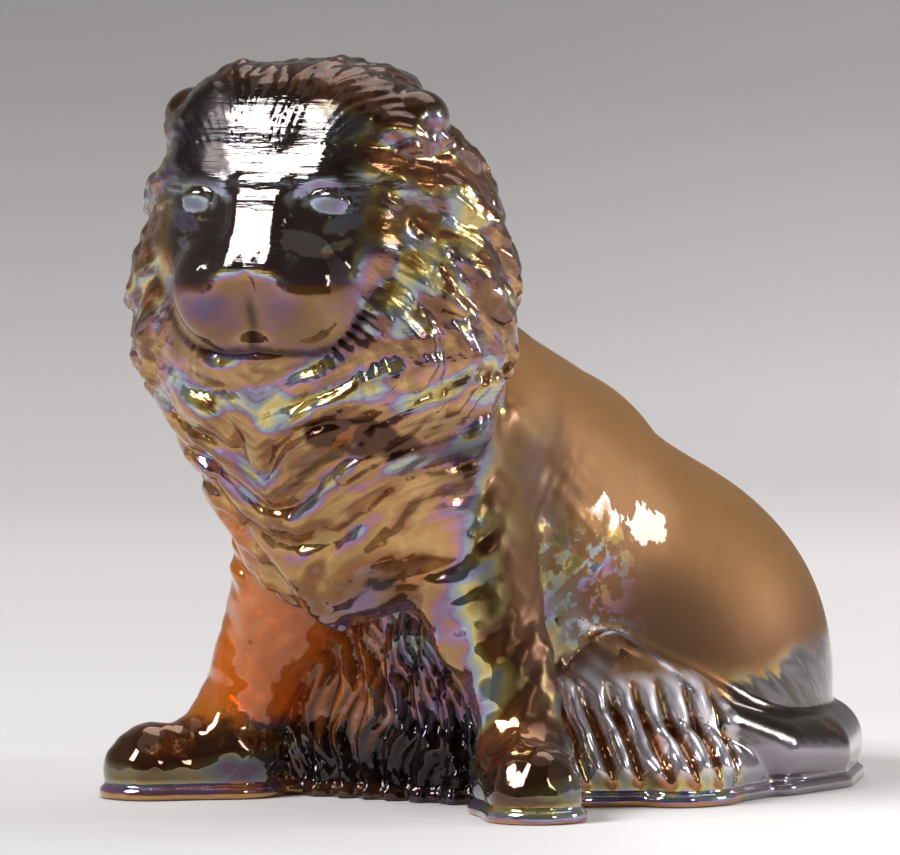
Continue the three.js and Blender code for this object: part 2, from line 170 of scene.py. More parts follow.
def block(at, half, rounding, pitch=0):
    """A box field with rounded edges, leaning back by its pitch in degrees."""
    cosine, sine = math.cos(math.radians(pitch)), math.sin(math.radians(pitch))

    def field(x, y, z):
        y, z = y - at[1], z - at[2]
        y, z = cosine * y - sine * z, sine * y + cosine * z
        x, y, z = (np.abs(c) - h + rounding for c, h in zip((x - at[0], y, z), half))
        outside = np.sqrt(
            np.maximum(x, 0) ** 2 + np.maximum(y, 0) ** 2 + np.maximum(z, 0) ** 2
        )
        return outside + np.minimum(np.maximum(np.maximum(x, y), z), 0) - rounding

    return field


def at_points(field, p):
    return field(p[:, 0], p[:, 1], p[:, 2])


def outward(field, p, h=0.4):
    slope = [
        at_points(field, p + h * axis) - at_points(field, p - h * axis) for axis in np.eye(3)
    ]
    return unit(np.stack(slope, axis=1))


def onto(field, p):
    return p - outward(field, p) * at_points(field, p)[:, None]


def surface_along(field, start, way):
    """Where rays from inside a field leave it."""
    reach = np.zeros(len(start))
    done = np.zeros(len(start), bool)
    for _ in range(80):
        depth = -at_points(field, start + way * reach[:, None])
        done |= depth < 0.02
        reach += np.where(done, 0, np.maximum(depth * 0.7, 0.02))
    return start + way * reach[:, None]


def ripple(x, y, z, scale, seed):
    """A smooth uneven swell from about -1 to 1, with waves about as long as scale."""
    total = 0
    for n in range(4):
        a, b, c, d = (scatter(seed * 97 + n * 5 + k) for k in range(4))
        way = unit(np.array([a - 0.5, b - 0.5, c - 0.5]))
        k = 2 * math.pi / (scale * (0.75 + 0.5 * d))
        total = total + np.sin(k * (way[0] * x + way[1] * y + way[2] * z) + 6.28 * a)
    return total / 2.6


def strands(phase):
    """Rounded strands side by side with sharp creases between, from 0 to 1."""
    return np.abs(np.sin(math.pi * phase))


# Trunk, haunches and hind legs. Parts on both sides are given for the left side.
trunk = limb((0, -30, 66, 24), (0, -14, 64, 28), (0, 13, 48.5, 32.3), (0, 28, 34, 35))
belly = block((0, 12, 21), (29.5, 32, 33), 12)
haunch = blob((20, 36.5, 22), (29, 36, 36), 0, 0, -5)
rump = blob((0, 43, 12), (41, 31, 33))
seat = blob((23, 45, 7), (23, 27.5, 15))
knee = blob((31, -4, 21), (7, 9, 8))
shank = limb((31, -3, 23, 7.5), (40, 6, 17, 8), (44, 20, 9, 8), (44, 34, 6, 8))
foot = limb((44, 44, 6, 8), (46.5, 8, 5, 7.5))
hind_paw = blob((47, 0, 5), (8.5, 11, 8))
sole = limb((30, -21, 3, 4.5), (35, 2, 4, 8.5), (33, 22, 4, 9))
apron = limb((30, -14, 6, 7), (38, -7, 6, 7.5), (43, 0, 6, 6))
apron_top = limb((28.5, -9.5, 19, 5), (34.5, -3.5, 20, 4.8))
tail = limb(
    (0, 62, 24, 7),
    (7, 69, 14, 8.2),
    (24, 67.5, 9, 8.5),
    (39, 60.5, 7, 8.3),
    (48.5, 42, 6.5, 7.5),
    (50, 24, 8, 6.8),
    (47, 11, 13.5, 5.2),
    (42, 4, 18, 3.2),
)


def hind_parts(x, y, z):
    side = np.abs(x)
    d = melt(trunk(x, y, z), belly(x, y, z), 14)
    d = melt(d, rump(x, y, z), 12)
    d = melt(d, haunch(side, y, z), 10)
    d = melt(d, seat(side, y, z), 5)
    d = melt(d, shank(side, y, z), 3)
    d = melt(d, knee(side, y, z), 2)
    d = melt(d, foot(side, y, z), 2)
    d = melt(d, hind_paw(side, y, z), 2)
    d = melt(d, sole(side, y, z), 2)
    return melt(d, tail(x, y, z), 1)


# Belly hair between the legs
web = block((0, -13, 13), (26, 13, 23), 6)


def web_drift(x, y, z):
    """How far the fine strands of the belly hair wander to the side."""
    return 2.2 * np.sin(z * 0.24 + x * 0.11) + 0.8 * ripple(x, y, z, 9, 3)


def belly_hair(x, y, z, fine=False):
    side = np.abs(x)
    wander = 1.1 * np.sin(z * 0.33 + x * 0.2)
    strand = np.cos(((x + wander) / STRAND_PITCH) * 2 * math.pi)
    front = web(x, y, z) - STRAND_DEPTH * strand
    flank = melt(apron(side, y, z), apron_top(side, y, z), 14)
    if fine:
        front = front + 0.55 - 0.9 * strands((x + web_drift(x, y, z)) / WEB_PITCH)
    return melt(front, flank, 2)


def flutes(x, y, z):
    """Upright ribs of hair that hang from the knee to the hind paw."""
    side = np.abs(x)
    across = ease(24, 29, side) * ease(-23, -18, y) * ease(10, 3, y)
    rib = strands((side + y + 0.43 * z) / RIB_PITCH)
    return -RIB_DEPTH * across * ease(4, 7, z) * ease(24, 19, z) * (rib - 0.5)


leg = limb(
    (13, -25, 63, 14),
    (17, -30, 48, 13.5),
    (22.5, -29.5, 34, 10.8),
    (27, -30, 27, 8.8),
    (32, -32, 13, 7.7),
)
ankle = blob((32, -33, 8), (9, 9, 9))
paw = limb((33, -34, 6, 8.4), (42.5, -44.5, 5, 8.6))


def front_legs(x, y, z):
    side = np.abs(x)
    return melt(melt(leg(side, y, z), ankle(side, y, z), 4), paw(side, y, z), 4)


# The mane's mass under its locks
ball = blob((0, HEAD_Y, 98), (33.6, 28, 36.5))
crown = block((0, -58, HEIGHT - 20.7), (23.5, 15.5, 18.5), 13)
cheeks = blob((0, -49.5, 88), (32, 26, 28))
chest = blob((0, -41, 64), (25, 21.5, 30))


def mane_mass(x, y, z):
    upper = melt(ball(x, y, z), crown(x, y, z), 8)
    return melt(melt(upper, cheeks(x, y, z), 10), chest(x, y, z), 14)


def bare(x, y, z):
    low = melt(hind_parts(x, y, z), belly_hair(x, y, z), 2)
    return melt(melt(low, front_legs(x, y, z), 4), mane_mass(x, y, z), 4)


FACE_FRONT = np.array([0, -84, 106])
FOREHEAD_CURVE = 200


def hair_way(p):
    """The way that hair lies: away from the face, down, and in on the chest."""
    low = ease(92, 72, p[:, 2])
    way = unit(p - FACE_FRONT)
    way[:, 0] -= 2.8 * np.sign(p[:, 0]) * np.minimum(np.abs(p[:, 0]) / 9, 1) * low
    way[:, 1] *= 1 - 0.8 * low
    way[:, 2] -= 0.55 + 0.3 * low
    return way


def lay_locks(field, roots, length, radius, lift, seed, swing_by=0.9):
    """Bent tapered rods along a surface, as an array of (lock, point, x y z radius)."""
    swing = ((scatter(seed) - 0.5) * swing_by)[:, None]
    p = onto(field, roots)
    made = []
    for n in range(LOCK_STEPS + 1):
        t = n / LOCK_STEPS
        normal = outward(field, p)
        r = radius * (0.55 + 1.8 * t * (1 - t)) * (1 - 0.55 * t * t)
        rise = lift * math.sin(0.1 + t * 1.8) * (1 - 0.45 * ease(118, 134, p[:, 2]))
        made.append(np.column_stack([p + normal * (rise - r)[:, None], r]))
        way = hair_way(p)
        bent = way + unit(np.cross(normal, way)) * swing * (2 * t - 1)
        along = unit(bent - normal * np.sum(bent * normal, axis=1, keepdims=True))
        p = onto(field, p + along * (length / LOCK_STEPS)[:, None])
    return np.stack(made, axis=1)


# Rings of locks round the mane: degrees back from the front, count, length, radius
RINGS = [
    (46, 15, 18, 5),
    (66, 17, 20, 5.6),
    (88, 17, 22, 6),
    (112, 15, 23, 6.4),
    (136, 10, 23, 6.4),
]
# Rows of locks down the chest: height, half the row's width, count
ROWS = [(80, 20, 4), (72, 29, 5), (63, 27, 6), (54, 23, 5), (45, 14, 4)]


def mane_locks():
    middle = np.array([0, HEAD_Y + 2, 102])
    starts, ways, lengths, radii, seeds = [], [], [], [], []
    for ring, (back, count, length, radius) in enumerate(RINGS):
        for n in range(count):
            around = ((n + 0.5 * (ring % 2) + 0.5) / count) * 2 * math.pi
            up = max(math.cos(around), 0)
            down = float(ease(-0.3, -1, math.cos(around)))
            if down > 0.55:
                continue
            angle = math.radians(back + 14 * up * up * (1 if ring < 3 else 0.4))
            out = math.sin(angle)
            starts.append(middle)
            ways.append([out * math.sin(around), -math.cos(angle), out * math.cos(around)])
            lengths.append(length * (1 + 0.4 * down))
            radii.append(radius * (1 + 0.4 * down))
            seeds.append(ring * 40 + n)
    for row, (z, half, count) in enumerate(ROWS):
        for n in range(count):
            x = half * ((2 * n) / (count - 1) - 1)
            starts.append([x * 0.6, -42, z])
            ways.append(unit(np.array([x * 0.4, -20.0, 0])))
            lengths.append(27 - 2 * row)
            radii.append(6.3)
            seeds.append(500 + row * 20 + n)
    roots = surface_along(mane_mass, np.array(starts, float), np.array(ways, float))
    lengths, radii = np.array(lengths, float), np.array(radii, float)
    return lay_locks(bare, roots, lengths, radii, LOCK_LIFT, np.array(seeds))


def wave_level(side, z):
    """Height along the waves of the chest, which fall towards the middle."""
    return z - side * (0.62 + 0.012 * (70 - z))


def chest_waves(x, y, z):
    """Long waves of hair that sweep down and in across the chest."""
    side = np.sqrt(x * x + 6)
    sway = 1.9 * np.sin(0.17 * x + 0.23 * z) + 1.2 * np.sin(0.31 * x - 0.19 * z + 2)
    level = wave_level(side, z) + sway
    uneven = 0.65 + 0.35 * np.sin(0.24 * x - 0.12 * z + 1)
    on_chest = ease(90, 80, z) * ease(34, 44, z) * ease(-34, -44, y)
    return -WAVE_DEPTH * on_chest * uneven * (strands(level / WAVE_PITCH) - 0.5)


def coat(x, y, z, far, locks):
    """The nearest of many rods, each looked at only where it's near."""
    d = far.copy()
    flat = [c.reshape(-1) for c in (x, y, z)]
    low = d.reshape(-1)
    for rod in locks:
        middle = rod[LOCK_STEPS // 2, :3]
        reach = np.max(np.linalg.norm(rod[:, :3] - middle, axis=1) + rod[:, 3])
        gap2 = sum((c - m) ** 2 for c, m in zip(flat, middle))
        near = np.nonzero(gap2 < (reach + 3) ** 2)[0]
        if len(near):
            here = limb(*rod)(*(c[near] for c in flat))
            low[near] = np.minimum(low[near], here)
    return low.reshape(far.shape)


# The face, as it is before the head turns
face = block((0, -60.5, 104.5), (19.5, 15.5, 20), 11)
forehead = block((0, -64.2, 119.1), (17, 9, 14), 6, 29)
bridge = block((0, -74.3, 105.4), (5.5, 6, 9.5), 2, 21)
brow = limb((12, -71, 118.6, 3.2), (17, -69.8, 118.4, 3.4), (22, -66.5, 116, 3))
nose = limb((3.2, -80, 100.2, 2.6), (6.6, -78.2, 99, 2.4))
jaw = blob((0, -69.6, 97), (18.5, 11.2, 12))
puff = blob((7.6, -75.6, 96), (9.4, 7.4, 10), 0, -14)
chin = blob((0, -73, 85.6), (9.5, 7, 5.8))
cheekbone = blob((17, -67, 103), (8, 8, 8))
beard = limb((3.5, -73.5, 81, 3), (3, -68.5, 72, 1.4))
ear = blob((23, -57, 127.5), (5, 6, 4.2), 0, 0, 35)
socket = blob((12.7, -79, 111.9), (6.6, 5, 3.9))
eyeball = blob((12.9, -75.2, 112), (3.4, 1.2, 2.2), 30)
mouth = limb(
    (0, -85, 87.6, 0.9), (6, -82, 85, 1.1), (13, -77.5, 85.6, 1.1), (20.5, -66, 91.5, 1.1)
)
lip = blob((0, -76, 82.9), (4.2, 3.2, 1.5))
groove = limb((0, -83, 97.5, 1.2), (0, -82, 88, 1.3))
nose_root = limb((0, -78.8, 114.6, 0.8), (8, -77.8, 114.8, 0.8))
MOUTH_LINE = [(0, 85.2), (4, 84.9), (10, 84.7), (14, 85.8), (17, 88), (19, 91.5)]


def off_mouth(side, z):
    """How far a point lies from the line of the mouth, seen from the front."""
    line = limb(*((a, 0, b, 0) for a, b in MOUTH_LINE))
    return line(side, np.zeros(np.shape(side)), z)


def head(x, y, z, fine=False):
    side = np.abs(x)
    d = melt(face(x, y, z), forehead(x, y - x * x / FOREHEAD_CURVE, z), 3)
    d = melt(d, brow(side, y, z), 4)
    d = melt(d, bridge(x, y, z), 3)
    d = melt(d, cheekbone(side, y, z), 6)
    d = melt(d, jaw(x, y, z), 5)
    d = melt(d, puff(side, y, z), 3)
    d = melt(d, chin(x, y, z), 2)
    d = melt(d, nose(side, y, z), 2)
    d = melt(d, ear(side, y, z), 3)
    if fine:
        # Strokes of short hair lie across the forehead
        brow_hair = 0.25 + 0.75 * ease(115, 118, z) * ease(-52, -62, y)
        phase = (z + 0.25 * side + 1.1 * ripple(x, y, z, 11, 5)) / BROW_STROKE_PITCH
        broken = np.clip(0.35 + 0.8 * ripple(x, y, z, 7, 6), 0, 1)
        d = d + brow_hair * broken * BROW_STROKE_DEPTH * (1 - strands(phase)) ** 2
    d = carve(d, socket(side, y, z), 1.5)
    if fine:
        d = carve(d, eyeball(side, y, z) - 0.7, 0.8)
        d = carve(d, nose_root(side, y, z), 1)
        line = np.exp(-((off_mouth(side, z) / MOUTH_LINE_WIDTH) ** 2))
        d = d + MOUTH_LINE_DEPTH * line * ease(-60, -66, y)
    d = melt(d, eyeball(side, y, z), 0.6)
    d = carve(d, mouth(side, y, z), 1.2)
    d = melt(d, lip(x, y, z), 0.8)
    d = melt(d, beard(side, y, z), 1)
    return carve(d, groove(x, y, z), 1)


locks = mane_locks()


def dressed(x, y, z):
    """The mane with its locks, for laying the finer hair on."""
    d = bare(x, y, z)
    return melt(d, coat(x, y, z, d + 3, locks), 1.2) + chest_waves(x, y, z)


# Rings of short tresses over the upper part of the mane: degrees back, count
TRESS_RINGS = [
    (42, 30),
    (52, 36),
    (62, 40),
    (73, 44),
    (84, 46),
    (96, 46),
    (108, 44),
    (120, 38),
    (132, 30),
]


def mane_tresses():
    middle = np.array([0, HEAD_Y + 2, 102])
    starts, ways, lengths, radii, seeds = [], [], [], [], []
    for ring, (back, count) in enumerate(TRESS_RINGS):
        for n in range(count):
            seed = 1000 + ring * 60 + n
            place = n + 0.5 * (ring % 2) + 0.7 * scatter(seed + 0.3)
            around = (place / count) * 2 * math.pi
            if math.cos(around) < -0.62:
                continue
            up = max(math.cos(around), 0)
            angle = math.radians(back + 12 * up**2 + 6 * scatter(seed + 0.6))
            out = math.sin(angle)
            starts.append(middle)
            ways.append([out * math.sin(around), -math.cos(angle), out * math.cos(around)])
            lengths.append(4 + 4.5 * scatter(seed + 0.1))
            radii.append(0.9 + 0.8 * scatter(seed + 0.2))
            seeds.append(seed)
    roots = surface_along(mane_mass, np.array(starts, float), np.array(ways, float))
    return lay_locks(
        dressed, roots, np.array(lengths), np.array(radii), 0.6, np.array(seeds), 1.4
    )


tresses = mane_tresses()


def round_the_face(x, y, z):
    """How far round the face a strand of the mane starts."""
    return np.arctan2(x, z + 0.6 * (y + 70) - 104) * 14.3


def figure(x, y, z):
    """Everything but the mould lip, with the head and mane turned."""
    angle = HEAD_TURN * ease(*NECK_Z, z)
    cosine, sine = np.cos(angle), np.sin(angle)
    hx = cosine * x + sine * (y - HEAD_Y)
    hy = HEAD_Y - sine * x + cosine * (y - HEAD_Y)
    low = melt(hind_parts(x, y, z), belly_hair(x, y, z, fine=True), 2) + flutes(x, y, z)
    d = melt(low, front_legs(x, y, z), 4)
    limbs = ease(3, 10, z) * ease(74, 60, z) * ease(2, -10, y)
    for swell, scale, seed in LEG_SWELLS:
        d = d + limbs * swell * ripple(x, y, z, scale, seed)
    up = np.nonzero((z >= MANE_FOOT) & (y <= MANE_BACK))
    px, py, pz, base = hx[up], hy[up], z[up], d[up]
    top = melt(base, mane_mass(px, py, pz), 4)
    top = melt(top, coat(px, py, pz, top + 3, locks), 1.2)
    top = top + chest_waves(px, py, pz)
    # Fine strands run back and down from the face over the upper mane
    fine = ease(66, 84, pz) * ease(-26, -34, py)
    phase = round_the_face(px, py, pz) + 0.55 * ripple(px, py, pz, 13, 8)
    broken = np.clip(0.6 + 0.6 * ripple(px, py, pz, 7, 9), 0, 1)
    top = top + fine * (0.15 - FINE_STRAND_DEPTH * strands(phase) * broken)
    hollow = ((x[up] - CHEST_HOLLOW[0]) / 6) ** 2 + ((pz - CHEST_HOLLOW[1]) / 2.6) ** 2
    top = top + CHEST_HOLLOW_DEPTH * np.exp(-hollow) * ease(-50, -58, py)
    top = melt(top, coat(px, py, pz, top + 2, tresses), 0.5)
    d[up] = melt(top, head(px, py, pz, fine=True), 1.2)
    return d


def lion(x, y, z):
    """The whole figure with its mould lip, cut flat underneath."""
    d = figure(x, y, z)
    d = d + GLASS_SWELL * ripple(x, y, z, 15, 12)
    base = np.nonzero(z < LIP_HEIGHT + 3)
    if len(base[0]):
        bx, by, bz = x[base], y[base], z[base]
        foot = figure(bx, by, np.full(bx.shape, float(LIP_LEVEL))) - LIP_REACH
        d[base] = melt(d[base], carve(foot, LIP_HEIGHT - bz, 1.2), 0.8)
        d[base] = carve(d[base], bz, 0.6)
    return np.maximum(d, -z)


def grid_field():
    """The field on a grid, worked out only in the blocks of cells near the surface."""
    step = CELL * BLOCK
    blocks = np.ceil((HIGH - LOW) / step).astype(int)
    low = LOW.copy()
    low[2] = -CELL * 2.5
    middles = [low[a] + (np.arange(blocks[a]) + 0.5) * step for a in range(3)]
    centres = np.stack(np.meshgrid(*middles, indexing="ij"), axis=-1).reshape(-1, 3)
    rough = at_points(lion, centres)
    near = np.abs(rough) < step * HALF_DIAGONAL + RELIEF
    values = np.empty((len(centres), BLOCK**3), np.float32)
    values[:] = rough[:, None]
    offsets = np.stack(
        np.meshgrid(*[np.arange(BLOCK) * CELL] * 3, indexing="ij"), axis=-1
    ).reshape(-1, 3)
    corner = centres[near] - step / 2
    part = 400
    found = np.empty((len(corner), BLOCK**3), np.float32)
    for start in range(0, len(corner), part):
        p = (corner[start : start + part, None, :] + offsets[None]).reshape(-1, 3)
        found[start : start + part] = at_points(lion, p).reshape(-1, BLOCK**3)
    values[near] = found
    grid = values.reshape(*blocks, BLOCK, BLOCK, BLOCK).transpose(0, 3, 1, 4, 2, 5)
    return np.ascontiguousarray(grid.reshape(blocks * BLOCK)), low


def surface_net(grid, low):
    """One point in each cell that the surface crosses, joined by quads."""
    inside = grid < 0
    nx, ny, nz = grid.shape
    count = np.zeros((nx - 1, ny - 1, nz - 1), np.uint8)
    for i in (0, 1):
        for j in (0, 1):
            for k in (0, 1):
                count += inside[i : nx - 1 + i, j : ny - 1 + j, k : nz - 1 + k]
    cells = np.argwhere((count > 0) & (count < 8))
    number = np.full(count.shape, -1, np.int64)
    number[tuple(cells.T)] = np.arange(len(cells))
    total = np.zeros((len(cells), 3))
    weight = np.zeros(len(cells))
    for axis in range(3):
        others = [a for a in range(3) if a != axis]
        for u in (0, 1):
            for v in (0, 1):
                a = cells.copy()
                a[:, others[0]] += u
                a[:, others[1]] += v
                b = a.copy()
                b[:, axis] += 1
                va, vb = grid[tuple(a.T)], grid[tuple(b.T)]
                cut = (va < 0) != (vb < 0)
                t = np.where(cut, va / np.where(cut, va - vb, 1), 0)
                point = a.astype(float)
                point[:, axis] += t
                total += point * cut[:, None]
                weight += cut
    points = low + CELL * total / weight[:, None]
    quads = []
    for axis in range(3):
        o1, o2 = [(axis + 1) % 3, (axis + 2) % 3]
        lo = [slice(1, n - 1) for n in grid.shape]
        hi = list(lo)
        lo[axis] = slice(0, grid.shape[axis] - 1)
        hi[axis] = slice(1, grid.shape[axis])
        here, there = inside[tuple(lo)], inside[tuple(hi)]
        edge = np.argwhere(here != there)
        flip = here[tuple(edge.T)]
        edge = edge + [0 if a == axis else 1 for a in range(3)]
        ring = []
        for d1, d2 in ((0, 0), (-1, 0), (-1, -1), (0, -1)):
            c = edge.copy()
            c[:, o1] += d1
            c[:, o2] += d2
            ring.append(number[tuple(c.T)])
        quad = np.stack(ring, axis=1)
        quad[~flip] = quad[~flip][:, ::-1]
        quads.append(quad)
    return points, np.concatenate(quads)


def settle(p):
    """Moves points onto the true surface, and keeps the underside flat."""
    near_floor = p[:, 2] < 0.35 * CELL
    off = at_points(lion, p)
    moved = p - outward(lion, p, 0.12) * np.clip(off, -0.5, 0.5)[:, None]
    moved[near_floor, 2] = np.maximum(p[near_floor, 2], 0)
    bottom = p[:, 2] < 0.08 * CELL
    moved[bottom] = p[bottom]
    moved[bottom, 2] = 0
    return moved


def drop_doubled(mesh):
    """Takes out faces that lie back to back on the same points."""
    work = bmesh.new()
    work.from_mesh(mesh)
    on_points = {}
    for face in work.faces:
        on_points.setdefault(frozenset(v.index for v in face.verts), []).append(face)
    doubled = [face for faces in on_points.values() if len(faces) > 1 for face in faces]
    bmesh.ops.delete(work, geom=doubled, context="FACES")
    work.to_mesh(mesh)
    work.free()


def lion_mesh():
    """The lion's object, thinned where it has too many triangles."""
    points, quads = surface_net(*grid_field())
    points = settle(points)
    mesh = bpy.data.meshes.new("lion_glass")
    mesh.from_pydata((points * MM).tolist(), [], quads.tolist())
    mesh.validate()
    piece = bpy.data.objects.new("lion_glass", mesh)
    bpy.context.scene.collection.objects.link(piece)
    if 2 * len(quads) > MOST_TRIANGLES:
        thin = piece.modifiers.new("thin", "DECIMATE")
        thin.ratio = MOST_TRIANGLES / (2 * len(quads))
        bpy.context.view_layer.update()
        less = bpy.data.meshes.new_from_object(
            piece.evaluated_get(bpy.context.evaluated_depsgraph_get())
        )
        piece.modifiers.clear()
        piece.data = less
        drop_doubled(less)
        p = np.empty(len(less.vertices) * 3)
        less.vertices.foreach_get("co", p)
        p = settle(p.reshape(-1, 3) / MM)
        less.vertices.foreach_set("co", (p * MM).ravel())
    fit_in_box(piece.data)
    piece.data.update()
    piece.data.polygons.foreach_set("use_smooth", [True] * len(piece.data.polygons))
    return piece


BOX_ROOM = 0.00002


def fit_in_box(mesh):
    """Draws the mesh in by the little that its finer hair stands out of the solid."""
    p = np.empty(len(mesh.vertices) * 3)
    mesh.vertices.foreach_get("co", p)
    p = p.reshape(-1, 3)
    low, high = (np.array(list(c)) for c in cad_box)
    for axis in range(3):
        for end, sign in ((low, -1), (high, 1)):
            most = p[:, axis].max() if sign > 0 else -p[:, axis].min()
            room = sign * end[axis]
            if most > room > 0:
                on_side = sign * p[:, axis] > 0
                p[on_side, axis] *= (room - BOX_ROOM) / most
    mesh.vertices.foreach_set("co", p.ravel())


# Marks in the film. Painted gold reflections: middle, reach. Painted pale reflections at the
# eyes: distance from the face's middle, height, half width, half height.
GOLD_REFLECTIONS = [
    ((33.3, -52.2, 110), 5.5),
    ((30.6, -64.4, 101.5), 5),
    ((31, -55, 126), 3.5),
    ((28, -66, 93), 4),
]
EYE_PATCHES = [(15.8, 108.1, 3.2, 1.5), (15, 103.9, 1.9, 0.9), (13.3, 111.4, 2.5, 1.2)]
EMBER = (17.2, -68.6, 69.1)
MOON = (13.4, -51, 42.6)
KNEE_TOP = (33.7, -12.5, 23.5)
FLANK_GLEAM = (32.5, 6.5, 52.5)
thigh_line = limb(
    (30.4, -10, 33.1, 0),
    (33.2, -0.3, 30.6, 0),
    (36, 2.2, 28.3, 0),
    (40.5, 1.2, 26, 0),
    (46.5, 2.3, 20.6, 0),
)


def most(*shares):
    return np.maximum.reduce(shares)


def off(p, at, reach=(1, 1, 1)):
    """Distance from a point, in shares of a reach along each axis."""
    return np.linalg.norm((p - np.array(at)) / np.array(reach), axis=1)


def mane_gold(p):
    """Gold and blue patches painted in the film at the mane's left side, painted reflections.
    """
    gold_reflection = np.zeros(len(p))
    for at, reach in GOLD_REFLECTIONS:
        uneven = 0.3 * ripple(*p.T, 6, 46)
        gold_reflection = most(gold_reflection, ease(1.1, 0.8, off(p, at, (1, 1, 1.3)) / reach + uneven))
    return gold_reflection


def chest_marks(p):
    """A hollow in the chest painted brown, a painted shade, an ember of bright amber in it,
    and a half moon lower down painted dark, a painted shade.
    """
    x, y, z = p.T
    at_x, at_z = CHEST_HOLLOW
    hollow = ((x - at_x) / 8) ** 2 + ((z - at_z + 0.15 * (x - 18)) / 3.4) ** 2
    hollow = ease(1.15, 0.85, hollow + 0.35 * ripple(x, y, z, 7, 50)) * ease(-50, -58, y)
    ember = ease(2.6, 1.5, 1.2 * ripple(x, y, z, 3, 51) + off(p, EMBER))
    moon = ease(3.3, 2.5, off(p, MOON)) * ease(43.6, 42.8, z + 0.1 * (x - 13))
    return hollow, ember, moon


def eye_patches(side, y, z):
    """Paler patches over, beside and under the eyes, painted reflections of the floor in the
    film.
    """
    patch = np.zeros(len(z))
    for at, level, wide, high in EYE_PATCHES:
        lean = 0.3 * (side - at)
        off_patch = ((side - at) / wide) ** 2 + ((z - level - lean) / high) ** 2
        patch = most(patch, ease(1.3, 0.8, off_patch) * ease(-66, -70, y))
    return patch


def knee_pearl(x, y, z, line):
    """Painted highlights on the ribs of hair at the knee, on the knee's top, and along a line
    down the thigh.
    """
    rib = flutes(x, y, z)
    ribs = np.clip(-rib / (0.5 * RIB_DEPTH) * 2.4 + 0.4, 0, 1) * (rib != 0)
    at_x, at_y, at_z = KNEE_TOP
    top = np.exp(-((np.abs(x) - at_x) ** 2 + (y - at_y) ** 2 + (z - at_z) ** 2) / 16)
    return most(ribs * ease(4, 8, z), top, line)


